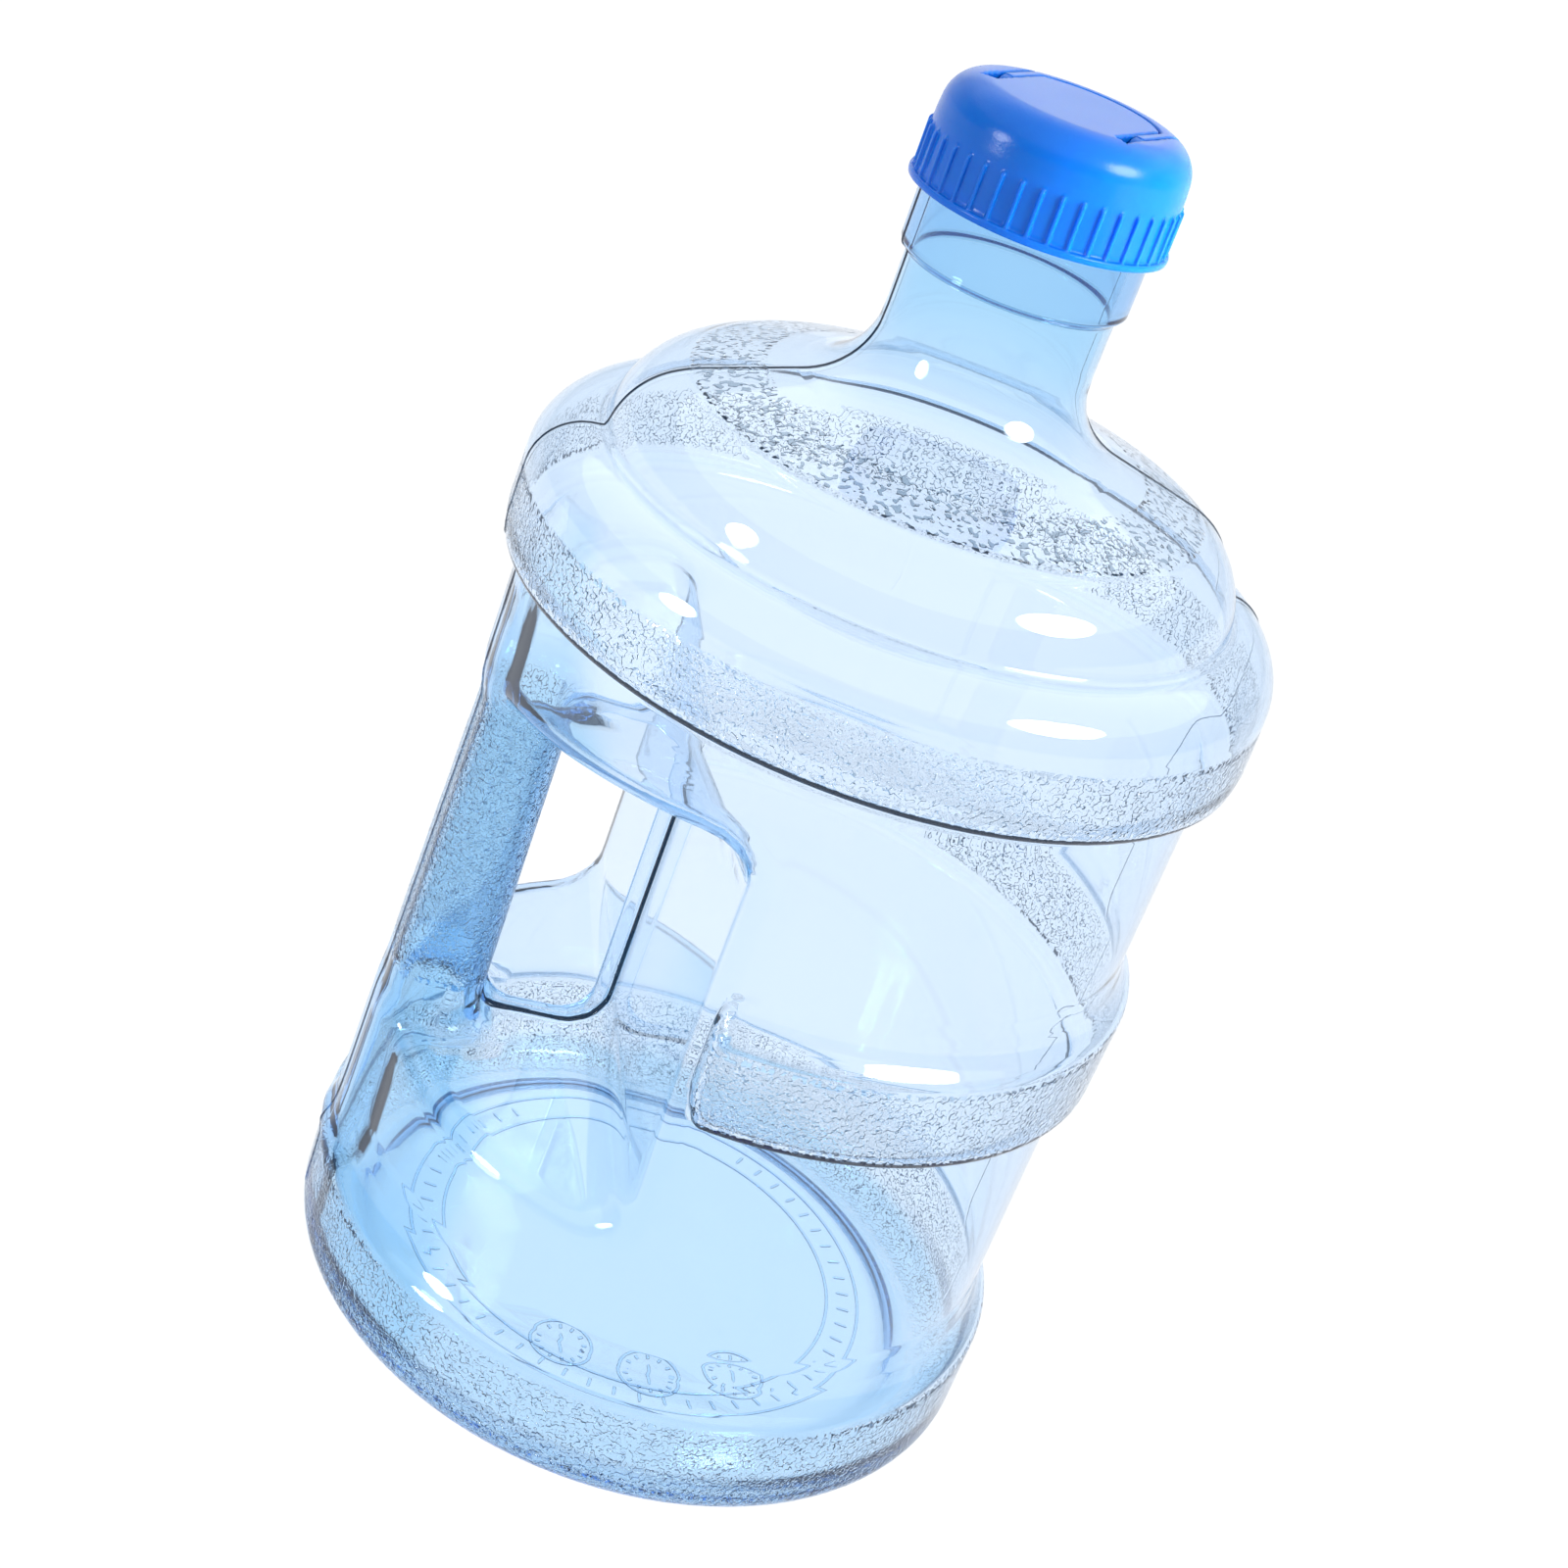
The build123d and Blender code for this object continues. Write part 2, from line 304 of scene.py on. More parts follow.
jug = {
    "wall": 1.6, "baseWall": 1.6, "gripWall": 0.9,  # the last two are added to the first
    "baseWallTop": 14, "gripWallX": -58, "gripWallSide": 24, "gripWallTop": 215,
    "wallFade": 8, "topFade": 20,  # how far a thicker wall takes to thin out
    "low": [
        (0, 6, 0), (74, 6, 10), (80, 0, 6), (97.5, 0, 9),
        (97.5, 31.5, 5), (92.6, 36.8, 12), (90.8, 47.5, 12),
    ],
    "band": [(90.8, 116.8, 2.0), (96.3, 118, 2.0), (96.9, 143.5, 4), (92.4, 148.2, 10), (90.8, 156, 12)],
    "high": [
        (90.8, 212, 2.5), (97.3, 214, 2.2), (98.1, 219, 10), (97.2, 248.2, 14.3),
        (81.8, 247.8, 1.2), (78.6, 261.7, 22), (66, 267.6, 8), (49.3, 272.6, 6),
    ],
    "neck": [
        (26.4, 279.4, 20), (26.4, 310, 1.8), (28.6, 311.2, 1.8), (28.6, 327, 0.5),
        (27.2, 327.7, 0.4), (27.2, 350, 1.0), (0, 350, 0),
    ],
    "bore": [(26.4, 279.4, 20), (26.4, 350, 1.0), (0, 350, 0)],
    "rim": [(27.2, 340.25), (27.05, 340.55), (26.7, 340.7), (25.3, 340.7), (24.95, 340.55), (24.8, 340.25)],
    "bandX": (-29.5, 140), "bandZ": (112, 160), "bandCorner": 16.0,
    # place at the middle plane, and how far it shifts per mm to the side
    "pocketWall": (33.0, 0.026), "pocketFloor": (79.0, -0.044), "pocketCeiling": (175.5, 0.16),
    "pocketCorner": 12.0, "pocketEdge": 6.0, "pocketReach": 100,
    "gripInner": 68.2, "gripOuterLow": 95.8, "gripOuterHigh": 89.6, "gripLow": 33.0, "gripHigh": 207.0,
    "gripHalf": 16.0, "gripCorner": 10.0, "gripBlend": 7.0,
    # x, z, half width, half height and corner of the web and of the opening through it
    "webHalf": 0.8, "web": (-52, 127, 23, 50, 4), "opening": (-53, 127.25, 15.2, 44.75, 9.5),
    "seamHeight": 0.3, "seamWidth": 0.4, "seamLow": 9, "seamHigh": 326,
    "threadRoot": 26.9, "threadCrest": 28.7, "threadStart": 331.8, "pitch": 5.0, "threadTurns": 1.4,
    # grid of each skin, as positions and the step from there on; angles in degrees
    "angles": [(0, 3.6), (126, 1.9), (234, 3.6), (360,)],
    "seamAngles": [0.16, 0.36, 0.7, 1.3], "seamClear": 2,  # close columns, and how near the even ones come
    "radii": [(0, 8), (24, 0.8), (30, 3.5), (72, 1.8), (88, 0.85), (99.4,)],
    "heights": [
        (-1, 1.0), (11, 3.5), (28, 1.6), (41, 3), (50, 5), (75, 2.7), (112, 1.2), (115.8, 0.6), (120, 4),
        (138, 1.7), (156, 3.2), (191, 5), (209, 1.0), (211, 0.45), (215.5, 2.8), (242, 1.3), (254, 2.0),
        (276, 2.2), (292, 8), (308.5, 0.5), (312.5, 6), (325.5, 0.6), (340.2,),
    ],
    "innerRadii": [(0, 9), (20, 1.2), (30, 4.0), (70, 2.4), (86, 1.1), (98,)],
    "innerHeights": [
        (0.4, 1.2), (14, 4.5), (28, 3.0), (50, 6), (74, 3.6), (114, 1.4), (118, 0.7), (121, 4), (138, 2.6),
        (158, 3.8), (194, 6), (210, 1.2), (212.5, 0.7), (217, 3), (240, 1.8), (256, 2.2), (276, 2.6),
        (292, 12), (340.2,),
    ],
}


def threadRidge(r, a, z, root, crest, start, turns, pitch, outward):
    # a ridge of trapezoid section that climbs one pitch a turn, fading in and out at its ends
    best = 1e3
    for lap in range(int(turns) + 1):
        turned = (np.mod(a, 2 * np.pi)) / (2 * np.pi) + lap
        off = np.abs(z - start - pitch * turned)
        fade = np.clip(np.minimum(turned, turns - turned) * 12, 0, 1)  # full after 1/12 turn
        top = root + (crest - root) * fade
        over = (r - top) if outward else (top - r)
        slant = off - 0.5 - (crest - r if outward else r - crest) * 0.4
        best = np.minimum(best, smoothMax(over, slant, 0.4) + (fade <= 0) * 10.0)
    return best


def jugSkin(r, a, z, inside):
    # turned outline with a middle band, less the hand recess, plus the grip tube and the
    # thin web round the finger opening, each joined with a rounded corner
    x, y = r * np.cos(a), r * np.sin(a)
    side = np.abs(y)
    plain = turnedDistance(r, z, outlines["bore" if inside else "plain"])
    banded = turnedDistance(r, z, outlines["boreBand" if inside else "plainBand"])
    (left, right), (low, high) = jug["bandX"], jug["bandZ"]
    middleX, middleZ = (left + right) / 2, (low + high) / 2
    region = plate(x - middleX, z - middleZ, (right - left) / 2, (high - low) / 2, jug["bandCorner"])
    skin = np.minimum(plain, smoothMax(banded, region, 2.0))
    wallX = -jug["pocketWall"][0] + jug["pocketWall"][1] * side
    floor = jug["pocketFloor"][0] + jug["pocketFloor"][1] * side
    ceiling = jug["pocketCeiling"][0] + jug["pocketCeiling"][1] * side
    deep, halfTall = jug["pocketReach"], (ceiling - floor) / 2
    recess = plate(x - wallX + deep, z - (floor + ceiling) / 2, deep, halfTall, jug["pocketCorner"])
    skin = smoothMax(skin, -recess, jug["pocketEdge"])
    length = jug["gripHigh"] - jug["gripLow"]
    lean = (z - jug["gripLow"]) / length
    outer = jug["gripOuterLow"] + (jug["gripOuterHigh"] - jug["gripOuterLow"]) * lean
    middle, half = -(outer + jug["gripInner"]) / 2, (outer - jug["gripInner"]) / 2
    grip = plate(x - middle, side, half, jug["gripHalf"], jug["gripCorner"])
    grip = smoothMax(grip, np.abs(z - jug["gripLow"] - length / 2) - length / 2, 2.0)
    skin = smoothMin(skin, grip, jug["gripBlend"])
    if inside:
        fade = jug["wallFade"]
        base = jug["baseWall"] * np.clip((jug["baseWallTop"] - z) / fade, 0, 1)
        hand = jug["gripWall"] * np.clip((jug["gripWallX"] - x) / fade, 0, 1)
        hand = hand * np.clip((jug["gripWallSide"] - side) / fade, 0, 1)
        return skin + jug["wall"] + base + hand * np.clip((jug["gripWallTop"] - z) / jug["topFade"], 0, 1)
    webX, webZ, *webSize = jug["web"]
    openingX, openingZ, *openingSize = jug["opening"]
    sheet = smoothMax(plate(x - webX, z - webZ, *webSize), side - jug["webHalf"], 0.6)
    opening = plate(x - openingX, z - openingZ, *openingSize)
    skin = smoothMin(skin, smoothMax(sheet, -opening, 0.8), 1.4)
    seam = jug["seamHeight"] * np.exp(-((y / jug["seamWidth"]) ** 2))
    skin = skin - seam * (z > jug["seamLow"]) * (z < jug["seamHigh"])
    ridge = threadRidge(
        r, a, z, jug["threadRoot"], jug["threadCrest"], jug["threadStart"],
        jug["threadTurns"], jug["pitch"], True,
    )
    return smoothMin(skin, ridge, 0.4)


outlines = {
    "plain": roundedOutline(jug["low"] + jug["high"] + jug["neck"]),
    "plainBand": roundedOutline(jug["low"] + jug["band"] + jug["high"] + jug["neck"]),
    "bore": roundedOutline(jug["low"] + jug["high"] + jug["bore"]),
    "boreBand": roundedOutline(jug["low"] + jug["band"] + jug["high"] + jug["bore"]),
}


def jugAngles():
    # even steps, finer towards the handle, with close columns along both seams
    even = np.radians(spaced(*jug["angles"])[:-1])
    near = np.radians(jug["seamAngles"])
    near = np.concatenate([-near, near])
    clear, whole = np.radians(jug["seamClear"]), 2 * np.pi
    even = even[(even > clear) & (np.abs(even - np.pi) > clear) & (even < whole - clear)]
    return np.sort(np.mod(np.concatenate([even, near, [0], near + np.pi, [np.pi]]), whole))


def rimBridge(outerRing, innerRing, rows, angles, start):
    # rows of points round the mouth, between the outer skin's last ring and the inner skin's
    middle = angles + (np.append(angles[1:], angles[0] + 2 * np.pi) - angles) / 2
    points = [np.stack([r * np.cos(middle), r * np.sin(middle), 0 * middle + z], 1) for r, z in rows]
    added = [start + i * len(angles) + np.arange(len(angles)) for i in range(len(rows))]
    rings = [outerRing, *added, innerRing]
    faces = [np.stack([a, np.roll(a, -1), np.roll(b, -1), b], 1) for a, b in zip(rings, rings[1:])]
    return np.concatenate(points), np.concatenate(faces)


def jugPiece(material):
    # the outer and the inner skin, joined over the rim
    angles = jugAngles()
    points, faces, fans, normals, ids = caughtSkin(
        lambda r, a, z: jugSkin(r, a, z, False), angles, spaced(*jug["radii"]), spaced(*jug["heights"])
    )
    innerRadii, innerHeights = spaced(*jug["innerRadii"]), spaced(*jug["innerHeights"])
    inPoints, inFaces, inFans, inNormals, inIds = caughtSkin(
        lambda r, a, z: jugSkin(r, a, z, True), angles, innerRadii, innerHeights, inward=True
    )
    first = len(points)
    outerRing = ids[:, :, -1].max(1)
    innerRing = inIds[:, :, -1].max(1) + first
    start = first + len(inPoints)
    rimPoints, rimFaces = rimBridge(outerRing, innerRing, jug["rim"], angles, start)
    allPoints = np.concatenate([points, inPoints, rimPoints])
    allFaces = np.concatenate([faces, inFaces + first, rimFaces])
    allFans = np.concatenate([fans, inFans + first])
    up = np.repeat(np.array([[0, 0, 1.0]]), len(rimPoints), 0)
    allNormals = np.concatenate([normals, inNormals, up])
    piece = makePiece("jug_shell_skin", allPoints, allFaces, allFans, allNormals, material)
    outer = np.zeros(len(allPoints), np.float32)
    outer[:first] = 1
    piece.data.attributes.new("outerSkin", "FLOAT", "POINT").data.foreach_set("value", outer)
    return piece


# clear plastic of the jug; lengths here in metres, a zone as (from, to, easing) or a ramp as (from, to)

plastic = {
    # the third colour here is painted shade, laid on the steep sides of the grain
    "bodyTint": (0.975, 0.985, 1, 1), "deepAndBaseShadeTint": (0.70, 0.87, 0.955, 1), "grainShadeTint": (0.20, 0.27, 0.33, 1),
    "absorbed": (0.06, 0.49, 0.88, 1), "density": 90,  # colour that passes, and how strongly, per metre
    "paintedGlow": (0.22, 0.58, 1, 1), "paintedGlowStrength": 0.008,  # painted light: faint emission standing in for light scattered inside the walls
    # at the base the deeper tint is partly its heavier wall and partly painted shade of the floor under the
    # jug
    "neckDeep": (0.270, 0.300), "baseDeepAndShade": (0.006, 0.012),
    "gripDeep": (-0.072, -0.062), "gripDeepTop": (0.18, 0.21),
    "grainScale": 760, "ringGrainScale": 620, "fineScale": 1500, "distortion": 0.5, "grainDepth": 0.0005,
    "ringRadius": (0.0493, 0.066, 0.0006), "ringHeight": (0.255, 0.257), "ringGrain": 1.5,
    "bandRadius": (0.0945, 0.0955),
    "upperBand": (0.2165, 0.232, 0.0012), "middleBand": (0.1200, 0.1405, 0.0012),
    "footHeight": (0.001, 0.029, 0.0018), "footRadius": (0.086, 0.088), "footGrain": 1.5,
    "gripHeight": (0.092, 0.173, 0.0015), "gripX": (-0.067, -0.066), "gripGrain": 1.3,
    # how strongly the painted shade on the grain is laid on
    "grainShadeShare": 0.95,
}


def clearPlastic():
    # clear blue polycarbonate, tinted through its depth and more so where its walls are heavier, with
    # painted shade at the base for the floor under the jug and a faint painted emission;
    # the moulded grain is bump, with painted shade in the colour on the steep sides of the grain
    material, shader, wire = newMaterial("clearBluePlastic", {
        "Roughness": 0.0, "IOR": 1.5, "Transmission Weight": 1.0,
        # painted light: a faint blue emission in place of light scattered inside the walls
        "Emission Color": plastic["paintedGlow"], "Emission Strength": plastic["paintedGlowStrength"],
    })
    place = wire.node("ShaderNodeTexCoord", output="Object")
    x = wire.node("ShaderNodeSeparateXYZ", inputs={0: place})
    y, z = x.other(1), x.other(2)
    radius = (x * x + y * y) ** 0.5
    outer = wire.node("ShaderNodeAttribute", {"attribute_name": "outerSkin"}, output="Fac")
    ring = radius.between(*plastic["ringRadius"]) * z.ramp(*plastic["ringHeight"])
    bands = z.between(*plastic["upperBand"]) + z.between(*plastic["middleBand"])
    foot = z.between(*plastic["footHeight"]) * radius.ramp(*plastic["footRadius"])
    grip = z.between(*plastic["gripHeight"]) * (1 - x.ramp(*plastic["gripX"]))
    zone = radius.ramp(*plastic["bandRadius"]) * bands
    zone = zone + plastic["gripGrain"] * grip + plastic["footGrain"] * foot
    worm = place.noise(plastic["grainScale"], distortion=plastic["distortion"])
    coarse = place.noise(plastic["ringGrainScale"], distortion=plastic["distortion"])
    fine = place.noise(plastic["fineScale"])
    grain = (worm.ramp(0.47, 0.57) + 0.1 * fine) * zone
    grain = grain + coarse.ramp(0.57, 0.64) * plastic["ringGrain"] * ring
    (grain * outer).bump(shader, 1.0, plastic["grainDepth"])
    inGrip = (1 - x.ramp(*plastic["gripDeep"])) * (1 - z.ramp(*plastic["gripDeepTop"]))
    # deeper tint where the walls are heavier: neck, grip and base, the base's share also painted shade of
    # the floor under the jug
    thickAndBaseShade = z.ramp(*plastic["neckDeep"]) + (1 - z.ramp(*plastic["baseDeepAndShade"])) + inGrip
    tint = thickAndBaseShade.blend(plastic["bodyTint"], plastic["deepAndBaseShadeTint"])
    # painted shade: the steep sides of the grain and the shoulder ring's grain are darkened in the colour,
    # standing in for the dark seen through the grain
    edges = 1 - abs(worm - 0.5).ramp(0.018, 0.045)
    grainShade = edges * fine.ramp(0.47, 0.53) * zone + coarse.ramp(0.60, 0.65) * ring
    tint = (grainShade * outer * plastic["grainShadeShare"]).blend(tint, plastic["grainShadeTint"])
    tint.into(shader.inputs["Base Color"])
    depth = wire.node("ShaderNodeVolumeAbsorption", inputs={
        "Color": plastic["absorbed"], "Density": plastic["density"],
    })
    depth.into(material.node_tree.nodes["Material Output"].inputs["Volume"])
    return material


jugShell = jugPiece(clearPlastic())
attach(jugShell, "jug")
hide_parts("jug_body")
print("jug", len(jugShell.data.vertices), "vertices", len(jugShell.data.polygons), "faces")


# raised moulding marks under the base

marks = {
    "height": 6.1, "bead": 0.5, "sides": 8,
    "rings": [67.0, 57.5], "dialCentre": 52.0, "dialRadius": 8.5, "dialAngles": (-118, -90, -62),
    "tickIn": 5.6, "tickOut": 7.2, "handHalf": 3.5, "ringColumns": 120, "dialColumns": 40,
    "bars": 46, "barIn": 60.5, "barOut": 64.5, "barGap": (55, 125),
}


def sweptBead(path, radius, sides, closed):
    # a circle of that radius carried along a path that lies flat, ends rounded off to a point
    path = np.asarray(path, float)
    ahead = np.roll(path, -1, 0) - np.roll(path, 1, 0)
    if not closed:
        ahead[0], ahead[-1] = path[1] - path[0], path[-1] - path[-2]
    ahead /= np.linalg.norm(ahead, axis=1)[:, None]
    across = np.cross(ahead, [0, 0, 1])
    size = np.full(len(path), radius)
    if not closed:
        size[[0, -1]] *= 0.35
    turn = np.linspace(0, 2 * np.pi, sides, endpoint=False)[None, :, None]
    normals = across[:, None] * np.cos(turn) + np.array([0, 0, 1.0]) * np.sin(turn)
    points = path[:, None] + normals * size[:, None, None]
    rows = np.arange(len(path) * sides).reshape(len(path), sides)
    after, before = (np.roll(rows, -1, 0), rows) if closed else (rows[1:], rows[:-1])
    faces = np.stack([before, after, np.roll(after, -1, 1), np.roll(before, -1, 1)], -1).reshape(-1, 4)
    fans = np.zeros((0, 3), int)
    points, normals = points.reshape(-1, 3), normals.reshape(-1, 3)
    if not closed:
        ends = [len(points), len(points) + 1]
        points = np.concatenate([points, path[[0, -1]]])
        normals = np.concatenate([normals, [path[0] - path[1], path[-1] - path[-2]]])
        fans = np.concatenate([
            np.stack([np.full(sides, ends[0]), rows[0], np.roll(rows[0], -1)], 1),
            np.stack([np.full(sides, ends[1]), np.roll(rows[-1], -1), rows[-1]], 1),
        ])
    return points, faces, fans, normals


def baseMarkPiece(material):
    # plain rings, three tick dials and a ring of short bars, all of one round bead
    beads = []

    def circle(x, y, radius, columns):
        turn = np.linspace(0, 2 * np.pi, columns, endpoint=False)
        height = np.full(columns, marks["height"])
        line = np.stack([x + radius * np.cos(turn), y + radius * np.sin(turn), height], 1)
        beads.append(sweptBead(line, marks["bead"], marks["sides"], True))

    def bar(x0, y0, x1, y1):
        share = np.array([0, 0.12, 0.5, 0.88, 1])[:, None]
        start, end = np.array([x0, y0, marks["height"]]), np.array([x1, y1, marks["height"]])
        line = start * (1 - share) + end * share
        beads.append(sweptBead(line, marks["bead"], marks["sides"], False))

    for radius in marks["rings"]:
        circle(0, 0, radius, marks["ringColumns"])
    for angle in np.radians(marks["dialAngles"]):
        x, y = marks["dialCentre"] * np.cos(angle), marks["dialCentre"] * np.sin(angle)
        circle(x, y, marks["dialRadius"], marks["dialColumns"])
        for tick in np.radians(np.arange(0, 360, 30)):
            c, s = np.cos(tick), np.sin(tick)
            near, far = marks["tickIn"], marks["tickOut"]
            bar(x + near * c, y + near * s, x + far * c, y + far * s)
        bar(x, y - marks["handHalf"], x, y + marks["handHalf"])
    for angle in np.radians(np.linspace(marks["barGap"][1], marks["barGap"][0] + 360, marks["bars"])):
        c, s = np.cos(angle), np.sin(angle)
        bar(marks["barIn"] * c, marks["barIn"] * s, marks["barOut"] * c, marks["barOut"] * s)
    starts = np.cumsum([0] + [len(b[0]) for b in beads])
    points, normals = (np.concatenate([b[i] for b in beads]) for i in (0, 3))
    faces, fans = (np.concatenate([b[i] + start for b, start in zip(beads, starts)]) for i in (1, 2))
    return makePiece("base_marks", points, faces, fans, normals, material)


def markPlastic():
    # clear plastic a little uneven, so that the marks catch the light
    material, shader, wire = newMaterial("markPlastic", {
        "Base Color": (0.75, 0.88, 1, 1), "Roughness": 0.03, "IOR": 1.45, "Transmission Weight": 1.0,
    })
    place = wire.node("ShaderNodeTexCoord", output="Object")
    place.noise(900, 1.0).bump(shader, 0.5, 0.0001)
    return material


baseMarks = baseMarkPiece(markPlastic())
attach(baseMarks, "jug")
print("base marks", len(baseMarks.data.polygons), "faces")


# cap and bail, laid out with the back towards +v and turned

cap = {
    "turn": np.radians(40.0),
    "dome": [(0, 326.5, 0), (31.1, 326.5, 0.4), (30.8, 342, 10), (29.8, 353.4, 9), (0, 353.4, 0)],
    "mouth": 326.5, "lipRadius": 32.3, "lipTop": 328.3,
    "ribs": 40, "ribRadius": 31.75, "ribIn": 27, "ribHalf": 0.5, "ribTop": 339.6, "ribLow": 327,
    "ribSlope": 0.6, "ribSlopeFrom": 31,  # how fast a rib's top drops outside that radius
    "bore": 29.3, "ceiling": 342.2, "threadRoot": 29.6, "threadCrest": 27.85, "threadDeep": 30,
    "lidHollow": (13.5, 12, 3), "lidHollowBack": -4, "lidTop": 351.2,  # half sizes and corner
    "ring": 20.3, "ringGap": 0.7, "half": 19.2, "leg": 16.8, "gap": 0.3,
    "bailLow": 344.8, "trenchLow": 344.4,
    "hingeBack": -3.0, "hingeHeight": 349.0, "heel": 4.1, "pin": 1.3, "pinEnd": 21.4,
    "windowFront": -13.0, "edge": 0.5,
    "colour": (0.001, 0.098, 0.42, 1),
    "columns": 440, "radii": [(0, 2.0), (10, 1.0), (27, 0.45), (32.8,)],
    "heights": [(325.9, 0.5), (329, 1.2), (338, 0.7), (354.2,)],
    "bailColumns": 360, "bailRadii": [(14, 0.6), (32,)], "bailHeights": [(344.3, 0.5), (354,)],
}
domeOutline = roundedOutline(cap["dome"])


def capPlace(r, a):
    # sideways and backwards distances on the cap
    return r * np.cos(a + cap["turn"]), r * np.sin(a + cap["turn"])


def bailPlan(u, v, r, grow, ring):
    # straight sides, a round inside, legs that run forward past the hinge
    leg = cap["leg"] - grow
    legsEnd = (ring**2 - leg**2) ** 0.5
    hole = smoothMax(np.abs(u) - leg, np.minimum(r - ring, v - legsEnd), 0.3)
    front = cap["hingeBack"] - cap["heel"]
    return np.maximum(smoothMax(np.abs(u) - cap["half"] - grow, -hole, 0.3), front - v)


def capSkin(r, a, z):
    # dome with lip and ribs, less the bore, the lid's hollow, the trench that holds the bail
    # and the two windows in front of its legs, plus the thread inside
    u, v = capPlace(r, a)
    skin = turnedDistance(r, z, domeOutline)
    lip = smoothMax(r - cap["lipRadius"], np.maximum(z - cap["lipTop"], cap["mouth"] - z), 0.6)
    skin = smoothMin(skin, lip, 0.8)
    pitch = 2 * np.pi / cap["ribs"]
    swing = np.mod(a + pitch / 2, pitch) - pitch / 2
    rib = smoothMax(np.abs(r * np.sin(swing)) - cap["ribHalf"], r - cap["ribRadius"], 0.5)
    drop = (r - cap["ribSlopeFrom"]) * cap["ribSlope"]
    rib = np.maximum(smoothMax(rib, z - cap["ribTop"] + drop, 0.6), cap["ribIn"] - r)
    skin = smoothMin(skin, np.maximum(rib, cap["ribLow"] - z), 0.4)
    bore = smoothMax(r - cap["bore"], z - cap["ceiling"], 0.6)
    hollow = smoothMax(plate(u, v - cap["lidHollowBack"], *cap["lidHollow"]), z - cap["lidTop"], 0.8)
    skin = smoothMax(skin, -np.minimum(bore, hollow), 0.3)
    trench = bailPlan(u, v, r, cap["gap"], cap["ring"] - cap["ringGap"])
    side = np.abs(u) - (cap["leg"] + cap["half"]) / 2
    halfWindow = (cap["half"] - cap["leg"]) / 2 + cap["gap"]
    alongWindow = np.maximum(cap["windowFront"] - v, v - cap["hingeBack"])
    window = np.maximum(np.abs(side) - halfWindow, alongWindow)
    trench = np.maximum(np.minimum(trench, window), cap["trenchLow"] - z)
    skin = smoothMax(skin, -trench, cap["edge"])
    ridge = threadRidge(
        r, a, z, cap["threadRoot"], cap["threadCrest"], jug["threadStart"] - jug["pitch"] / 2,
        jug["threadTurns"], jug["pitch"], False,
    )
    return smoothMin(skin, np.maximum(ridge, r - cap["threadDeep"]), 0.3)


def bailSkin(r, a, z):
    # the part of the dome that is inside the bail's plan, with round heels and two pins
    u, v = capPlace(r, a)
    back, up = v - cap["hingeBack"], z - cap["hingeHeight"]
    heel = np.hypot(back, up)
    skin = smoothMax(turnedDistance(r, z, domeOutline), bailPlan(u, v, r, 0, cap["ring"]), cap["edge"])
    skin = smoothMax(skin, cap["bailLow"] - z, cap["edge"])
    skin = smoothMax(skin, np.minimum(-back, heel - cap["heel"]), 0.4)
    along = np.maximum(np.abs(u) - cap["pinEnd"], cap["half"] - 1 - np.abs(u))
    return np.minimum(skin, smoothMax(heel - cap["pin"], along, 0.2))


def capPlastic():
    # glossy blue moulding with a little light passing through it
    material, shader, wire = newMaterial("capPlastic", {
        "Base Color": cap["colour"], "IOR": 1.5, "Specular IOR Level": 0.25,
        "Subsurface Weight": 0.5, "Subsurface Scale": 0.006, "Subsurface Radius": (0.1, 0.5, 1.0),
    })
    place = wire.node("ShaderNodeTexCoord", output="Object")
    (0.17 + 0.1 * place.noise(60, 1.0)).into(shader.inputs["Roughness"])
    place.noise(1400, 2.0).bump(shader, 0.35, 0.0001)
    return material


capMaterial = capPlastic()
capAngles = np.linspace(0, 2 * np.pi, cap["columns"], endpoint=False)
points, faces, fans, normals, _ = caughtSkin(
    capSkin, capAngles, spaced(*cap["radii"]), spaced(*cap["heights"])
)
capPiece = makePiece("cap_skin", points, faces, fans, normals, capMaterial)
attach(capPiece, "cap")
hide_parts("screw_cap")
print("cap", len(capPiece.data.polygons), "faces")

bailAngles = np.linspace(0, 2 * np.pi, cap["bailColumns"], endpoint=False)
points, faces, fans, normals, _ = caughtSkin(
    bailSkin, bailAngles, spaced(*cap["bailRadii"]), spaced(*cap["bailHeights"])
)
bailPiece = makePiece("bail_skin", points, faces, fans, normals, capMaterial)
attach(bailPiece, "bail")
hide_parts("cap_bail")
print("bail", len(bailPiece.data.polygons), "faces")


# sealing disc under the cap

liner = {
    "outline": [(0, 340.7), (28.6, 340.7), (28.9, 340.95), (28.9, 341.95), (28.6, 342.2), (0, 342.2)],
    "columns": 96, "colour": (0.8, 0.82, 0.84, 1),
}


def turnedSurface(name, outline, columns, material):
    # an outline carried round the axis, its first and last points being poles
    line = np.array(outline)
    angle = np.linspace(0, 2 * np.pi, columns, endpoint=False)
    body = line[1:-1]
    points = np.stack([
        body[:, :1] * np.cos(angle), body[:, :1] * np.sin(angle), body[:, 1:] + 0 * angle
    ], -1).reshape(-1, 3)
    rows = np.arange(len(body) * columns).reshape(len(body), columns)
    low, high = rows[:-1], rows[1:]
    faces = np.stack([low, np.roll(low, -1, 1), np.roll(high, -1, 1), high], -1).reshape(-1, 4)
    foot, top = len(points), len(points) + 1
    points = np.concatenate([points, [[0, 0, line[0, 1]], [0, 0, line[-1, 1]]]])
    fans = np.concatenate([
        np.stack([np.full(columns, foot), np.roll(rows[0], -1), rows[0]], 1),
        np.stack([np.full(columns, top), rows[-1], np.roll(rows[-1], -1)], 1),
    ])
    return makePiece(name, points, faces, fans, None, material)


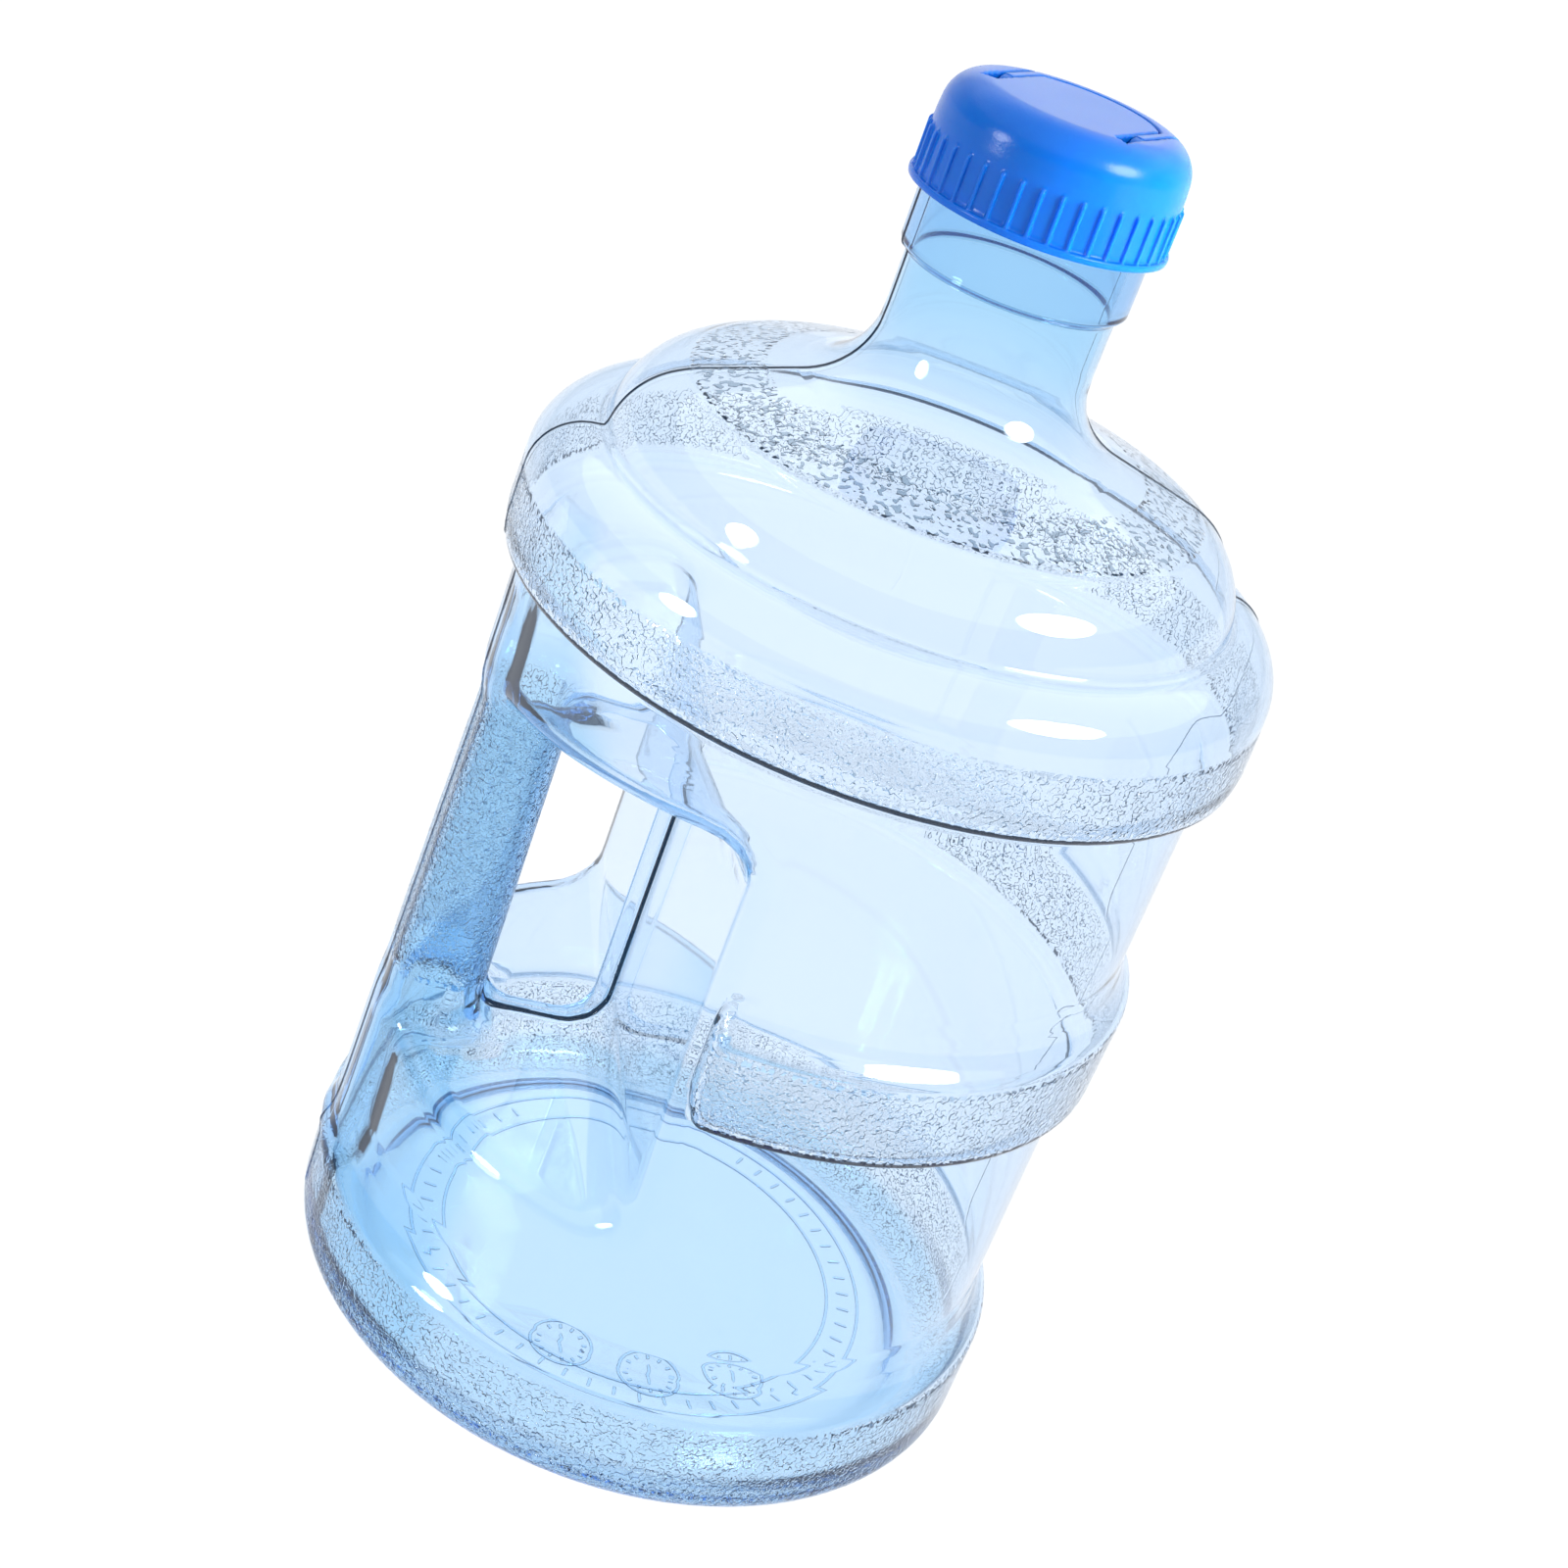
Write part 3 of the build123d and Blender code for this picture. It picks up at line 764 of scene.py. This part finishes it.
def linerFoam():
    # matt white foam with fine cells
    material, shader, wire = newMaterial("linerFoam", {"Base Color": liner["colour"], "Roughness": 0.6})
    place = wire.node("ShaderNodeTexCoord", output="Object")
    place.noise(2200, 2.0).bump(shader, 0.4, 0.0001)
    return material


linerPiece = turnedSurface("liner_disc", liner["outline"], liner["columns"], linerFoam())
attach(linerPiece, "seal")
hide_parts("cap_liner")
print("liner", len(linerPiece.data.polygons), "faces")


# floor, light and camera

studio = {
    "floor": (0.97, 0.94, 0.905, 1), "floorSize": 80.0,
    "horizon": (0.30, 0.46, 0.68, 1), "zenith": (0.52, 0.56, 0.62, 1),
    "backdrop": (0.86, 0.90, 0.95, 1), "backdropSide": (0.27, 0.96, 0),
    "skyBlend": (-0.1, 0.9), "backdropBlend": (0.1, 0.75), "bounces": 32,
    "sunStrength": 1.58, "sunAngle": 120.0,
    "lights": [  # place, aim, width, height, watts, what it lights, and whether it shows as a highlight
        ((0.78, -0.69, 1.02), (0, -0.08, 0.24), 0.62, 0.48, 15, "object", True),
        ((-1.15, -0.42, 0.50), (-0.05, -0.05, 0.24), 0.26, 0.46, 6, "object", True),
        ((0.80, -0.40, 0.28), (0, 0, 0.34), 0.8, 0.5, 36, "cap", False),
        ((0.34, 1.127, 0.60), (0, 0, 0.353), 1.0, 0.5, 0.5, "cap", True),
    ],
    "cameraPlace": (-0.17781, -0.59061, 0.47375), "azimuth": -16.0, "elevation": 26.695, "roll": 20.80,
    "lens": 60.62,
}


def paleFloor():
    material, _, _ = newMaterial("paleFloor", {"Base Color": studio["floor"], "Roughness": 0.55})
    half = studio["floorSize"] / 2
    corners = np.array([[-half, -half, 0], [half, -half, 0], [half, half, 0], [-half, half, 0]]) * 1000
    floor = makePiece("floor", corners, np.array([[0, 1, 2, 3]]), np.zeros((0, 3), int), None, material)
    floor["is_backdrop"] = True


def placed(place, right, up, back):
    # where something stands, with its own three axes
    return Matrix.Translation(place) @ Matrix(np.stack([right, up, back], 1).tolist()).to_4x4()


def softLights():
    # the soft boxes light the object alone, so that the floor stays even
    lit = {"object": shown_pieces(), "cap": [capPiece, bailPiece]}
    for name, group in lit.items():
        lit[name] = bpy.data.collections.new(name + "Lit")
        for piece in group:
            lit[name].objects.link(piece)
    for index, (place, aim, width, height, watts, subject, glossy) in enumerate(studio["lights"]):
        light = bpy.data.lights.new(f"softLight{index}", "AREA")
        light.shape, light.size, light.size_y, light.energy = "ELLIPSE", width, height, watts
        lamp = bpy.data.objects.new(light.name, light)
        lamp.light_linking.receiver_collection = lit[subject]
        lamp.visible_glossy = glossy
        back = np.array(place) - np.array(aim)
        back /= np.linalg.norm(back)
        right = np.cross([0, 0, 1], back)
        right /= np.linalg.norm(right)
        lamp.matrix_world = placed(place, right, np.cross(back, right), back)
        bpy.context.scene.collection.objects.link(lamp)
    sun = bpy.data.lights.new("broadLight", "SUN")
    sun.energy, sun.angle = studio["sunStrength"], np.radians(studio["sunAngle"])
    bpy.context.scene.collection.objects.link(bpy.data.objects.new("broadLight", sun))


def studioSky():
    # bluer at the horizon, greyer above, brightest behind the object
    world = bpy.data.worlds.new("studioSky")
    world.use_nodes = True
    tree = world.node_tree
    wire = Wire(tree, None)
    sky = wire.node("ShaderNodeTexCoord", output="Generated")
    height = wire.node("ShaderNodeSeparateXYZ", inputs={0: sky}, output=2)
    behind = wire.node("ShaderNodeVectorMath", {"operation": "DOT_PRODUCT"}, {
        0: sky, 1: studio["backdropSide"],
    }, output=1)
    colour = height.ramp(*studio["skyBlend"]).blend(studio["horizon"], studio["zenith"])
    colour = behind.ramp(*studio["backdropBlend"]).blend(colour, studio["backdrop"])
    colour.into(tree.nodes["Background"].inputs[0])
    bpy.context.scene.world = world


def studioCamera():
    # aimed by its azimuth and elevation, then rolled about its own line of sight
    a, e, roll = np.radians([studio["azimuth"], studio["elevation"], studio["roll"]])
    right = np.array([np.cos(a), np.sin(a), 0])
    back = np.array([np.sin(a) * np.cos(e), -np.cos(a) * np.cos(e), np.sin(e)])
    up = np.cross(back, right)
    rightTurned = np.cos(roll) * right + np.sin(roll) * up
    upTurned = np.cos(roll) * up - np.sin(roll) * right
    camera = bpy.data.objects.new("camera", bpy.data.cameras.new("camera"))
    camera.data.lens, camera.data.sensor_width = studio["lens"], 36
    camera.matrix_world = placed(studio["cameraPlace"], rightTurned, upTurned, back)
    bpy.context.scene.collection.objects.link(camera)
    bpy.context.scene.camera = camera


paleFloor()
softLights()
studioSky()
studioCamera()
bpy.context.scene.view_settings.view_transform = "Standard"
bpy.context.scene.cycles.max_bounces = studio["bounces"]
bpy.context.scene.cycles.transmission_bounces = studio["bounces"]
for piece in (jugShell, baseMarks):  # the floor round clear plastic stays bright
    piece.visible_shadow = False
    piece.visible_diffuse = False
print("studio set")
